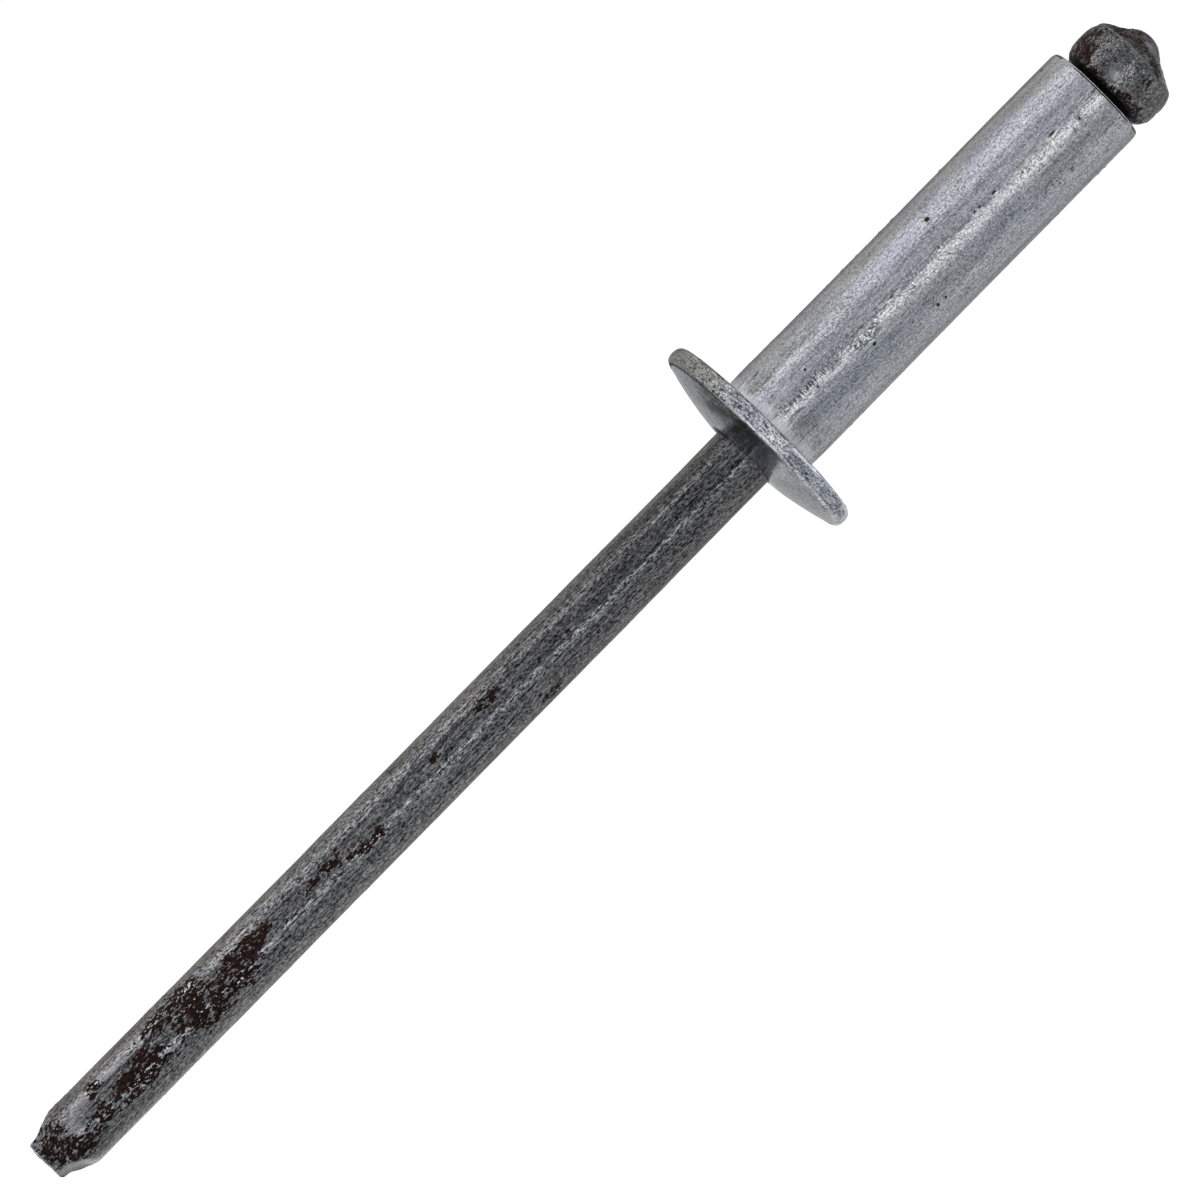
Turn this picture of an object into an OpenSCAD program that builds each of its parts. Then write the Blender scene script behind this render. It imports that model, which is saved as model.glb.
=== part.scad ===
// Blind rivet as supplied, not yet set: a domed sleeve with its mandrel through it.
// It lies on a flat surface, held up by the rim of its flange and the tail of its mandrel.
// +X runs from the tail to the mandrel head and +Z points up. Sizes are in millimetres and degrees.
// Every piece is drawn along its own centre line: zero is the seat face under the flange,
// and plus is the way to the mandrel head. lay_down() then puts it in its place.

/* [Sleeve] */
// Outside diameter of the sleeve
sleeve_d = 3.2; // [2.9:0.05:3.6]
// Length of the sleeve from the seat face to its open end
sleeve_l = 13.19; // [8:0.01:20]
// Rounding of the sleeve's outer edge at the open end
sleeve_edge_r = 0.15; // [0.05:0.01:0.3]
// Radius of the fillet where the sleeve runs into the flange
root_r = 0.12; // [0.05:0.01:0.3]

/* [Flange] */
// Diameter of the flange
flange_d = 6.69; // [5.8:0.05:8]
// Thickness of the flange's rim
rim_h = 0.54; // [0.4:0.01:0.6]
// Radius of the rim's rounded edge, seen in section
rim_crown_r = 0.32; // [0.31:0.01:0.5]
// Rise of the dome from the rim to the mouth of the hole
dome_h = 0.42; // [0.25:0.01:0.6]
// Rounding of the hole's mouth in the dome
mouth_r = 0.06; // [0.02:0.01:0.12]

/* [Mandrel shank] */
// Diameter of the mandrel's shank
shank_d = 1.966; // [1.8:0.002:2.1]
// Gap all round between the shank and the bore when the shank is centred
bore_gap = 0.097; // [0.04:0.001:0.15]
// Gap that is left under the shank, which hangs down in the bore by its own weight
lean_gap = 0.01; // [0.005:0.001:0.03]
// Length of shank that stands out of the dome
stem_l = 27.58; // [20:0.01:40]
// Width of the break neck between its two notches
neck_w = 1.2; // [0.9:0.05:1.6]
// Distance from the underside of the head to the middle of the break neck
neck_back = 1.5; // [1:0.05:3]

/* [Mandrel tail] */
// Width across the flats of the pinched tail
tail_w = 1.09; // [0.9:0.01:1.2]
// Radius of the four hollows that the pinching leaves
pinch_r = 1.5; // [1.2:0.05:2]
// Turn of the square tail about the shank
tail_turn = 13.3; // [0:0.1:45]
// Width of the strip of the tail's end face that broke off shorter
step_w = 0.1; // [0.05:0.01:0.3]
// How much shorter that strip is
step_h = 0.07; // [0.03:0.01:0.15]

/* [Mandrel head] */
// Largest diameter of the head
head_d = 3.02; // [2.8:0.01:3.1]
// Length of the head from its underside to the end of its nipple
head_l = 2.15; // [2:0.01:2.25]
// Height of the head's drum, from its underside to its flat end
drum_h = 1.5; // [1.4:0.01:1.6]
// Radius of the barrel shape of the drum's side
barrel_r = 2.07; // [1.8:0.01:4]
// Rounding between the drum's side and both its ends
drum_edge_r = 0.5; // [0.3:0.01:0.55]
// Slope of the cone that leads from the drum's edge to the nipple
cone_rise = 31; // [25:1:35]
// Radius of the nipple's round end
nipple_r = 0.7; // [0.6:0.01:0.8]
// How far the nipple sits above the shank's centre line
nipple_off = 0.094; // [0:0.002:0.15]
// Gap between the sleeve's open end and the underside of the head
head_gap = 0.05; // [0.02:0.01:0.2]

/* [Hidden] */
$fn = 96;
// Overlap of a cutter past the face that it cuts
past = 0.5;

sleeve_r = sleeve_d / 2;
shank_r = shank_d / 2;
bore_r = shank_r + bore_gap;
flange_r = flange_d / 2;
head_r = head_d / 2;
// How far the shank hangs below the sleeve's centre line
lean = bore_gap - lean_gap;

// Rim of the flange: the middle of its rounded edge, and the radius where the dome starts
rim_arc_at = flange_r - rim_crown_r;
rim_edge = rim_arc_at + sqrt(pow(rim_crown_r, 2) - pow(rim_h / 2, 2));
// Crown of the dome, where the hole's mouth is
crown_z = -(rim_h + dome_h);
// Middle of the sphere that passes through the dome's outer edge and the hole's mouth
dome_mid = (pow(rim_edge, 2) - pow(bore_r, 2) - pow(dome_h, 2)) / (2 * dome_h) - rim_h;
dome_r = norm([rim_edge, dome_mid + rim_h]);

// Places along the mandrel
tail_end = crown_z - stem_l;
head_under = sleeve_l + head_gap;
neck_at = head_under - neck_back;
nipple_end = head_under + head_l;

// Lowest line of the shank, and where the pinched hollow beside it begins
line_at_face = shank_r * cos(tail_turn);
pinch_l = sqrt(pow(pinch_r, 2) - pow(pinch_r + tail_w / 2 - line_at_face, 2));
tail_rest = tail_end + pinch_l;

// Lying on a flat surface: the rim's rounded edge and the end of the shank's lowest line both touch it
rest_run = -rim_h / 2 - tail_rest;
rest_drop = rim_arc_at - shank_r - lean;
tilt = atan2(rest_drop, rest_run) + asin(rim_crown_r / norm([rest_run, rest_drop]));
seat_z = (shank_r + lean) * cos(tilt) - tail_rest * sin(tilt);
seat_x = -(tail_end + nipple_end) / 2 * cos(tilt);

// Puts a piece that stands on the seat face, head up, into its lying place. Its +X side turns down.
module lay_down() {
    translate([seat_x, 0, seat_z])
        rotate([0, 90 - tilt, 0])
            children();
}

// Puts a piece on the mandrel's centre line, below the sleeve's
module hang_down() {
    translate([lean, 0, 0])
        children();
}

// Section of the sleeve's wall, outer edge rounded at the open end
module sleeve_section() {
    square([sleeve_r, sleeve_l - sleeve_edge_r]);
    square([sleeve_r - sleeve_edge_r, sleeve_l]);
    translate([sleeve_r - sleeve_edge_r, sleeve_l - sleeve_edge_r])
        circle(sleeve_edge_r);
}

// Section of the fillet between the sleeve and the seat face
module root_section() {
    difference() {
        translate([sleeve_r - past, 0])
            square([past + root_r, root_r]);
        translate([sleeve_r + root_r, root_r])
            circle(root_r);
    }
}

// Section of the flange: a flat rim with a rounded edge
module rim_section() {
    translate([0, -rim_h])
        square([rim_arc_at, rim_h]);
    intersection() {
        translate([rim_arc_at, -rim_h / 2])
            circle(rim_crown_r);
        translate([0, -rim_h])
            square([flange_r, rim_h]);
    }
}

// Section of the dome, a shallow cap of a sphere on the rim
module dome_section() {
    intersection() {
        translate([0, dome_mid])
            circle(dome_r, $fn = 360);
        translate([0, crown_z - past])
            square([flange_r, past + dome_h]);
    }
}

// Section of what the hole takes out, with the rounding of its mouth
module bore_section() {
    translate([0, crown_z - past])
        square([bore_r, sleeve_l - crown_z + 2 * past]);
    difference() {
        translate([0, crown_z - past])
            square([bore_r + mouth_r, past + mouth_r]);
        translate([bore_r + mouth_r, crown_z + mouth_r])
            circle(mouth_r);
    }
}

// Sleeve and domed flange, headed from one blank
module rivet_body() {
    color([0.63, 0.64, 0.67])
        lay_down()
            rotate_extrude()
                difference() {
                    union() {
                        sleeve_section();
                        root_section();
                        rim_section();
                        dome_section();
                    }
                    bore_section();
                }
}

// Two opposite notches that leave the break neck
module neck_notches() {
    notch = shank_r - neck_w / 2;
    for (side = [0, 180])
        translate([0, 0, neck_at])
            rotate([0, 0, side])
                translate([neck_w / 2 + notch + past, 0, 0])
                    rotate([90, 0, 0])
                        linear_extrude(2 * (shank_r + past), center = true)
                            polygon([[0, -notch - past], [0, notch + past], [-notch - past, 0]]);
}

// Four hollows that pinch the shank down to its square tail
module tail_hollows() {
    for (face = [0 : 90 : 270])
        rotate([0, 0, face - tail_turn])
            translate([tail_w / 2 + pinch_r, 0, tail_end])
                rotate([90, 0, 0])
                    cylinder(h = 2 * (shank_r + past), r = pinch_r, center = true);
}

// Strip of the tail's end face that broke off shorter than the rest
module tail_step() {
    rotate([0, 0, -tail_turn])
        translate([tail_w / 2 - step_w, -shank_r - past, tail_end - past])
            cube([past + step_w, 2 * (shank_r + past), past + step_h]);
}

// Plain shank from the tail to the head, with its neck and its pinched tail
module shank() {
    difference() {
        translate([0, 0, tail_end])
            cylinder(h = head_under + drum_h / 2 - tail_end, r = shank_r);
        neck_notches();
        tail_hollows();
        tail_step();
    }
}

// Section of the head's drum: rounded at both ends, with a barrel-shaped side
module drum_section() {
    intersection() {
        union() {
            square([head_r - drum_edge_r, drum_h]);
            translate([0, drum_edge_r])
                square([head_r, drum_h - 2 * drum_edge_r]);
            for (end = [drum_edge_r, drum_h - drum_edge_r])
                translate([head_r - drum_edge_r, end])
                    circle(drum_edge_r);
        }
        translate([0, -past])
            square([head_r, drum_h + 2 * past]);
        translate([head_r - barrel_r, drum_h / 2])
            circle(barrel_r, $fn = 180);
    }
}

// Section of the cone between the drum's rounded edge and the nipple
module cone_section() {
    foot = [head_r - drum_edge_r * (1 - sin(cone_rise)),
            drum_h - drum_edge_r * (1 - cos(cone_rise))];
    top_r = nipple_r / 2;
    polygon([[0, drum_h / 2], [foot.x, drum_h / 2], foot,
             [top_r, foot.y + (foot.x - top_r) * tan(cone_rise)],
             [0, foot.y + (foot.x - top_r) * tan(cone_rise)]]);
}

// Knob that pulls into the sleeve when the rivet is set
module head() {
    translate([0, 0, head_under]) {
        rotate_extrude() {
            drum_section();
            cone_section();
        }
        translate([-nipple_off, 0, head_l - nipple_r])
            sphere(nipple_r);
    }
}

// Steel mandrel: head, shank and tail from one wire
module mandrel() {
    color([0.33, 0.32, 0.32])
        lay_down()
            hang_down() {
                shank();
                head();
            }
}

rivet_body();
mandrel();
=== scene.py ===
# %% [markdown]
# A blind rivet as it comes from the box
# The object is two pieces of metal: a dull aluminium sleeve with a round flange, and a
# steel mandrel that goes right through it. Both are turned or drawn forms, so each is made
# here as one surface: a profile carried round the rivet's centre line, worked out as whole
# numpy arrays, and then dented, pitted and roughened by formulas. The packed CAD model is
# loaded first. It says how big the rivet is and how it lies.

# %% Load the frame
from itertools import product

import bpy
import numpy as np
from mathutils import Matrix, Vector


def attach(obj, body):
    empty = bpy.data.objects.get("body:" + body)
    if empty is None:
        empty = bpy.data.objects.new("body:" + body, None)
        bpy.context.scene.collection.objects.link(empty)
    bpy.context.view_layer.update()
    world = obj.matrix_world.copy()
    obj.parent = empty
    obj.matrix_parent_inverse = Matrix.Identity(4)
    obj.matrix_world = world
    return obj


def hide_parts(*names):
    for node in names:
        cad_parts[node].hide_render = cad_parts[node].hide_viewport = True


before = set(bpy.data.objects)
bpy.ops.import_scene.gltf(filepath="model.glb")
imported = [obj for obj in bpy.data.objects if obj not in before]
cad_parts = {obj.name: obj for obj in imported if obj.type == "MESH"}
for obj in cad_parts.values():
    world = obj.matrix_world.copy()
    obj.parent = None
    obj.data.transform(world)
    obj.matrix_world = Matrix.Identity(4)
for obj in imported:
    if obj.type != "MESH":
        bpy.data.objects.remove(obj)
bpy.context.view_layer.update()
scene = bpy.context.scene
scene.view_settings.view_transform = "Standard"

# %% [markdown]
# How the rivet lies
# The rivet rests on the rim of its flange and on the tail of its mandrel, so its centre
# line climbs a little towards the head. Every shape below is drawn on that line, in
# millimetres: `along` is measured from the seat face under the flange, plus towards the
# head, and `turn` is the angle round the line, 0 at the photograph's side and 90 degrees
# straight down. One function turns such a place into metres in the frame.

# %% The rivet's own line, and a function that places points on it
MM = 0.001
TILT = np.radians(4.7768)
SEAT = np.array([6.55216, 0.0, 3.35698])
AXIS = np.array([np.cos(TILT), 0.0, np.sin(TILT)])
DOWN = np.array([np.sin(TILT), 0.0, -np.cos(TILT)])
FRONT = np.array([0.0, -1.0, 0.0])
# The mandrel hangs down in the bore by this much
HANG = 0.087


def place(along, front, down):
    """Metres in the frame = seat point + along x axis + front x forward + down x downward."""
    reach = [np.multiply.outer(part, line) for part, line in ((along, AXIS), (front, FRONT), (down, DOWN))]
    return MM * (SEAT + sum(reach))


print("The centre line climbs", round(float(np.degrees(TILT)), 2), "degrees")

# %% [markdown]
# The camera
# The photograph is taken from far away with a long lens, from the side of the rivet and
# 4.5 degrees towards its tail, so that a little of the dome shows. The picture is turned:
# the rivet runs from the lower left corner to the upper right one. A camera that is built
# from its own right, up and back directions can be turned like this without any guesswork.

# %% Camera
LENS, SENSOR = 800.0, 36.0
# Width of the picture at the rivet, and the place in its middle, in millimetres
FRAME_WIDTH = 33.324
AIM_ALONG, AIM_DOWN = -6.60, 0.045
ELEVATION, ROLL = np.radians(1.0), np.radians(45.46)
# Sine of the angle between the line of sight and the plane square to the rivet
TOWARDS_TAIL = 0.078

cos_up, sin_up = np.cos(ELEVATION), np.sin(ELEVATION)
azimuth = -np.arcsin((TOWARDS_TAIL + sin_up * np.sin(TILT)) / (cos_up * np.cos(TILT)))
back = np.array([np.sin(azimuth) * cos_up, -np.cos(azimuth) * cos_up, sin_up])
drawn_axis = AXIS - AXIS.dot(back) * back
drawn_axis /= np.linalg.norm(drawn_axis)
beside_axis = np.cross(back, drawn_axis)
right = np.cos(ROLL) * drawn_axis - np.sin(ROLL) * beside_axis
up = np.sin(ROLL) * drawn_axis + np.cos(ROLL) * beside_axis
stand_off = FRAME_WIDTH * MM * LENS / SENSOR


def stand(item, across, upward, backward, middle):
    """Links an object, turned so that its X, Y and Z are these directions, at a middle in metres."""
    turned = Matrix(np.column_stack([across, upward, backward]).tolist()).to_4x4()
    turned.translation = Vector(middle)
    item.matrix_world = turned
    scene.collection.objects.link(item)


camera = bpy.data.objects.new("camera", bpy.data.cameras.new("camera"))
camera.data.lens, camera.data.sensor_width = LENS, SENSOR
camera.data.clip_start, camera.data.clip_end = 0.01, 5.0
stand(camera, right, up, back, place(AIM_ALONG, 0.0, AIM_DOWN) + stand_off * back)
scene.camera = camera
print("Camera", round(stand_off, 3), "m away, azimuth", round(float(np.degrees(azimuth)), 2), "degrees")

# %% [markdown]
# Chance, made repeatable
# Hammered and drawn metal is uneven in a random way, but the script has to give the same
# rivet on every run. So its randomness is a formula: every whole-number point of a grid
# gets a fixed value from its coordinates, and the places between are filled in smoothly.
# Adding finer and weaker copies of this gives lumps of every size.

# %% Smooth random fields
# Large factors that spread small whole numbers over all digits, and masks that keep 31 and 16 bits
SPREAD_X, SPREAD_Y, SPREAD_Z = 73856093, 19349663, 83492791
SPREAD_SEED, SPREAD_ALL = 1640531513, 1274126177
KEEP_31, KEEP_16 = 0x7FFFFFFF, 0xFFFF


def grid_value(x, y, z, seed):
    """Mixes the digits of three whole numbers and gives a value from -1 to 1."""
    mixed = (x * SPREAD_X) ^ (y * SPREAD_Y) ^ (z * SPREAD_Z) ^ (seed * SPREAD_SEED)
    mixed = ((mixed ^ (mixed >> 13)) & KEEP_31) * SPREAD_ALL & KEEP_31
    mixed ^= mixed >> 15
    return (mixed & KEEP_16) / (KEEP_16 / 2) - 1


def lumps(points, size, seed, octaves=1, gain=0.55):
    """Sum of `octaves` smooth fields. Each is half the size of the last and `gain` as strong.
    Between grid points a field is the average of 8 corner values, weighted by 3t^2 - 2t^3."""
    total = np.zeros(points.shape[:-1])
    for octave in range(octaves):
        spot = points * (2 ** octave / size)
        low = np.floor(spot).astype(np.int64)
        ease = spot - low
        ease = ease * ease * (3 - 2 * ease)
        for corner in product((0, 1), repeat=3):
            weight = np.prod(np.where(corner, ease, 1 - ease), axis=-1)
            total += gain ** octave * weight * grid_value(*np.moveaxis(low + corner, -1, 0), seed + octave)
    return total


def ramp(value, start, end):
    """0 before start, 1 after end, and 3t^2 - 2t^3 in between. Start may be above end."""
    t = np.clip((value - start) / (end - start), 0, 1)
    return t * t * (3 - 2 * t)


def near(value, middle, width, power=2):
    """Soft peak: exp(-((value - middle) / width)^power), 1 in the middle and 0 well away from it."""
    return np.exp(-((value - middle) / width) ** power)


print("Field at one point:", round(float(lumps(np.array([[0.3, 0.4, 0.5]]), 1.0, 7, 3)[0]), 4))

# %% [markdown]
# From a grid of points to a mesh
# A surface of two parameters is a grid: rows follow the profile and columns go round.
# The last column joins the first, so there is no seam. The sleeve has a hole right
# through it, so its last row joins its first one too. The mandrel is solid, so each of
# its ends closes in one point. The volume that the faces enclose is worked out at once:
# it is positive only when every face points outwards.

# %% Grid to mesh
def build(name, rings, values, ends=None):
    """Makes an object from rings[row, column] in metres, closed round and, without `ends`,
    from the last row to the first. `ends` are the two points that close a solid piece.
    `values` are named numbers per grid point, which the materials read."""
    rows, columns = rings.shape[:2]
    index = np.arange(rows * columns).reshape(rows, columns)
    first, second = (index[:-1], index[1:]) if ends is not None else (index, np.roll(index, -1, axis=0))
    quads = np.stack([first, second, np.roll(second, -1, axis=1), np.roll(first, -1, axis=1)], axis=-1)
    quads = quads.reshape(-1, 4)
    points, faces = rings.reshape(-1, 3), quads.tolist()
    corners = [quads[:, (0, 1, 2)], quads[:, (0, 2, 3)]]
    numbers = {key: value.reshape(-1) for key, value in values.items()}
    if ends is not None:
        points = np.vstack([points, ends])
        numbers = {key: np.append(value, [value[0], value[-1]]) for key, value in numbers.items()}
        start = np.stack([np.full(columns, rows * columns), index[0], np.roll(index[0], -1)], axis=-1)
        finish = np.stack([np.full(columns, rows * columns + 1), np.roll(index[-1], -1), index[-1]], axis=-1)
        faces += start.tolist() + finish.tolist()
        corners += [start, finish]
    a, b, c = np.moveaxis(points[np.vstack(corners)], 1, 0)
    volume = np.einsum("ij,ij->", a, np.cross(b, c)) / 6 / MM ** 3
    mesh = bpy.data.meshes.new(name)
    mesh.from_pydata(points.tolist(), [], faces)
    mesh.polygons.foreach_set("use_smooth", np.ones(len(mesh.polygons), dtype=bool))
    for key, value in numbers.items():
        mesh.attributes.new(key, "FLOAT", "POINT").data.foreach_set("value", value.astype(np.float32))
    piece = bpy.data.objects.new(name, mesh)
    scene.collection.objects.link(piece)
    print(name, "encloses", round(float(volume), 1), "mm3 with", sum(map(len, corners)), "triangles")
    return piece


# %% [markdown]
# The sleeve's profile
# Sleeve and flange are headed from one blank, so they are one surface. Its profile is a
# closed loop of short curves: end face, rounded end edge, straight wall, root fillet, flat
# seat, rounded rim, shallow dome, the lip of the hole, and the bore back to the end. Each
# gets as many rows as its detail needs. The bore is never seen, and has few.

# %% Profile of the sleeve and its flange
SLEEVE_R, SLEEVE_L, BORE_R = 1.6, 13.19, 1.08
FLANGE_R, RIM_H, DOME_H = 3.345, 0.54, 0.42
ROOT_R, MOUTH_R = 0.12, 0.06
END_BACK, END_IN = 0.22, 0.09
RIM_IN, RIM_POWER = 0.19, 2.4
END_ROWS, EDGE_ROWS, WALL_ROWS, ROOT_ROWS, SEAT_ROWS = 7, 12, 268, 8, 22
RIM_ROWS, DOME_ROWS, MOUTH_ROWS, BORE_ROWS = 28, 40, 6, 12


def line(start, end, rows):
    """Straight run from start to end, without its last point."""
    t = np.arange(rows)[:, None] / rows
    return np.array(start) + t * (np.array(end) - start)


def quarter(middle, across, lengthwise, from_deg, to_deg, rows, power=2.0):
    """Arc of a superellipse: middle + (across c^(2/p), lengthwise s^(2/p)), c and s from the angle."""
    angle = np.radians(from_deg + (to_deg - from_deg) * np.arange(rows) / rows)
    curve = np.stack([np.cos(angle), np.sin(angle)], axis=-1)
    curve = np.sign(curve) * np.abs(curve) ** (2 / power)
    return np.array(middle) + curve * (across, lengthwise)


def dome(radius):
    """Height of the dome at a radius: a cap of a sphere through the rim edge and the hole's lip."""
    edge = FLANGE_R - RIM_IN
    middle = (edge ** 2 - BORE_R ** 2 - DOME_H ** 2) / (2 * DOME_H)
    ball = np.hypot(edge, middle)
    return -RIM_H - (np.sqrt(ball ** 2 - radius ** 2) - middle)


rim_edge = FLANGE_R - RIM_IN
lip_r = BORE_R + MOUTH_R
lip_top = dome(lip_r) + MOUTH_R
dome_r = np.linspace(rim_edge, lip_r, DOME_ROWS + 1)[:-1]
sleeve_profile = np.vstack([
    line((BORE_R, SLEEVE_L), (SLEEVE_R - END_IN, SLEEVE_L), END_ROWS),
    quarter((SLEEVE_R - END_IN, SLEEVE_L - END_BACK), END_IN, END_BACK, 90, 0, EDGE_ROWS),
    line((SLEEVE_R, SLEEVE_L - END_BACK), (SLEEVE_R, ROOT_R), WALL_ROWS),
    quarter((SLEEVE_R + ROOT_R, ROOT_R), ROOT_R, ROOT_R, 180, 270, ROOT_ROWS),
    line((SLEEVE_R + ROOT_R, 0), (rim_edge, 0), SEAT_ROWS),
    quarter((rim_edge, -RIM_H / 2), RIM_IN, RIM_H / 2, 90, -90, RIM_ROWS, RIM_POWER),
    np.stack([dome_r, dome(dome_r)], axis=-1),
    quarter((lip_r, lip_top), MOUTH_R, MOUTH_R, 270, 180, MOUTH_ROWS),
    line((BORE_R, lip_top), (BORE_R, SLEEVE_L), BORE_ROWS),
])
print("The sleeve's profile has", len(sleeve_profile), "rows")

# %% [markdown]
# The sleeve's grid
# The profile is carried round the line in even steps. Arrays of the grid's size then say
# for every point how far along it is, at what angle, and how far from the line. All that
# follows is a formula on these arrays. Three functions help: one finds the direction in
# which the surface faces, and the others add up soft round marks or stripes from a list.

# %% Grid of the sleeve
SLEEVE_COLUMNS = 240


def facing(points):
    """Direction across the grid at every point: the cross product of its row and column steps."""
    around = np.roll(points, -1, axis=1) - np.roll(points, 1, axis=1)
    rows = np.roll(points, -1, axis=0) - np.roll(points, 1, axis=0)
    out = np.cross(around, rows)
    return out / np.maximum(np.linalg.norm(out, axis=-1, keepdims=True), 1e-12)


def in_degrees(angle):
    """The angle in degrees, brought to -180 to 180 by way of a complex number on a circle."""
    return np.degrees(np.angle(np.exp(1j * angle)))


def spots(along, turn, marks):
    """Sum of soft round marks: depth x exp(-(distance / size)^2), distance measured on the surface."""
    total = np.zeros_like(along)
    for at, degrees, length, width, depth in marks:
        swing = in_degrees(turn - np.radians(degrees))
        total += depth * near(along, at, length) * near(swing, 0, width)
    return total


def stripes(degrees, bands):
    """Sum of soft stripes along the line: strength x exp(-((degrees - middle) / width)^2)."""
    return sum(strength * near(degrees, middle, width) for middle, width, strength in bands)


sleeve_turn = np.arange(SLEEVE_COLUMNS) * 2 * np.pi / SLEEVE_COLUMNS
radius = np.repeat(sleeve_profile[:, :1], SLEEVE_COLUMNS, axis=1)
along = np.repeat(sleeve_profile[:, 1:], SLEEVE_COLUMNS, axis=1)
turn = np.repeat(sleeve_turn[None], len(sleeve_profile), axis=0)
turn_deg = in_degrees(turn)
shell = np.stack([along, radius * np.cos(turn), radius * np.sin(turn)], axis=-1)
print("The sleeve's grid has", shell.shape[0], "rows and", shell.shape[1], "columns")

# %% [markdown]
# Dents and pits of the sleeve
# A real sleeve is a little out of round, finely crinkled, and knocked about by the other
# rivets in the box. These forms are too big for a bump map to carry, so the points
# themselves move, along the direction in which the surface faces. The lists say where each
# pit and dent is: how far along, at what angle, how long, how wide and how deep. Beside the
# flange a short collar is rubbed smooth, and the wall beyond it is rougher and a hair lower.

# %% Move the points of the sleeve
# along in mm, turn in degrees, length in mm, width in degrees, depth in mm
SLEEVE_PITS = [
    (7.235, -35.0, 0.09, 3.0, 0.035), (1.845, -15.1, 0.05, 1.8, 0.035), (3.455, -9.0, 0.05, 1.5, 0.02),
    (1.755, 6.0, 0.05, 1.6, 0.035), (3.715, 16.0, 0.06, 2.0, 0.04), (5.765, 36.0, 0.05, 2.2, 0.04),
    (6.065, 36.5, 0.05, 2.0, 0.035), (12.195, 4.0, 0.05, 1.8, 0.035), (12.525, -72.0, 0.06, 3.0, 0.03),
    (4.985, -5.0, 0.16, 1.4, 0.025), (6.885, -5.5, 0.05, 1.5, 0.03), (8.285, -5.0, 0.07, 1.5, 0.03),
    (8.495, -5.0, 0.06, 1.5, 0.03), (9.045, -5.0, 0.14, 1.3, 0.03), (11.355, -5.0, 0.2, 1.2, 0.03),
    (11.085, 36.0, 0.12, 1.2, 0.025),
]
SLEEVE_DENTS = [
    (3.385, 4.0, 0.24, 3.4, 0.028), (3.715, 7.5, 0.26, 3.4, 0.034), (3.985, 3.5, 0.18, 4.0, 0.028),
    (4.185, -1.0, 0.12, 3.0, 0.022), (2.535, 2.5, 0.3, 2.2, 0.018), (5.585, 3.5, 0.3, 1.8, 0.015),
]
# Heights in millimetres of the uneven forms
BULGE, CRINKLE, STREWN, WALL_LOWER, HAMMERED, CHIPPED = 0.010, 0.0035, 0.014, 0.006, 0.005, 0.008

outside = ramp(radius, BORE_R + 0.01, BORE_R + 0.05)
wall = ramp(along, 0.15, 0.4) * outside
beyond_collar = ramp(along, 0.5, 0.62)
pits = spots(along, turn, SLEEVE_PITS)
crumple = spots(along, turn, SLEEVE_DENTS)
strewn = STREWN * ramp(lumps(shell * (0.7, 1, 1), 0.16, 5, 2), 0.98, 1.15) * beyond_collar
hollows = pits + strewn + crumple * (0.5 + 1.2 * lumps(shell, 0.12, 31, 2))
bulge = BULGE * lumps(shell * (0.3, 1, 1), 1.6, 11, 2)
crinkle = CRINKLE * lumps(shell * (0.8, 1, 1), 0.14, 3, 3) * (0.3 + 0.7 * beyond_collar)
on_wall = bulge + crinkle - hollows - WALL_LOWER * beyond_collar
on_flange = HAMMERED * lumps(shell, 0.5, 17, 3) - CHIPPED * ramp(lumps(shell, 0.22, 23, 2), 0.8, 1.05)
on_flange *= 0.4 + 0.6 * ramp(radius, 2.2, 3.0)
move = outside * (wall * on_wall + (1 - wall) * on_flange)
shell = shell + move[..., None] * facing(shell)
print("The sleeve's points move by", round(float(move.min()), 3), "to", round(float(move.max()), 3), "mm")

# %% [markdown]
# Dark marks of the sleeve
# Dirt fills the pits, a painted shadow line follows the dome's upper edge, and a dark line
# follows the rounded end.
# Bands of scratches run along the wall, and a row of short cross ticks sits in one place
# near the flange, as a comb would leave. The grid knows angle and distance, so it is the
# place to work out where each belongs, as numbers from 0 to 1. The mesh keeps them under a
# name, and the material, which knows only fine grain, reads them.

# %% Dark marks of the sleeve
# Depths in mm from which a pit is full of dirt and the crumpled patch is fully folded
FULL_PIT, FULL_CRUMPLE = 0.03, 0.02
# turn in degrees, width in degrees, strength
SCRATCH_BANDS = [(-6.0, 3.6, 1.0), (-21.0, 3.0, 0.5), (36.0, 5.0, 0.7), (13.0, 3.0, 0.3), (-52.0, 4.0, 0.3)]

# Painted shadow: a dark line under the dome's upper edge, where the edge shades the dome
on_dome_edge = near(radius, rim_edge, 0.05) * near(along, -RIM_H, 0.08) * ramp(turn_deg, -4, -14)
edge_shadow_line = on_dome_edge * (1.4 + 0.6 * lumps(shell, 0.15, 29, 2))
end_line = near(along, SLEEVE_L - 0.055, 0.022) * outside * ramp(lumps(shell, 0.5, 33, 3), -0.5, 0.1)
# Real dirt in the pits, plus the painted shadow line under the dome's edge
dirt_and_shadow = np.clip((pits + strewn) / FULL_PIT, 0, 1) * wall + edge_shadow_line + end_line
comb = near(along, 1.6, 1.15, 4) * near(turn_deg, -1.5, 3.6, 4) * wall
lined = stripes(turn_deg, SCRATCH_BANDS)
lined += ramp(np.abs(turn_deg), 62, 75) * ramp(lumps(shell * (0.03, 1, 1), 0.45, 35, 2), 0.2, 0.8)
lined *= 0.8 + 0.6 * lumps(shell * (0.2, 1, 1), 0.4, 39, 2)
lined = (lined + 0.8 * near(along, 0.8, 0.3)) * wall
print("Dirt lies on", round(100 * float(np.mean(dirt_and_shadow > 0.5)), 1), "% of the sleeve's points")
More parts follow.
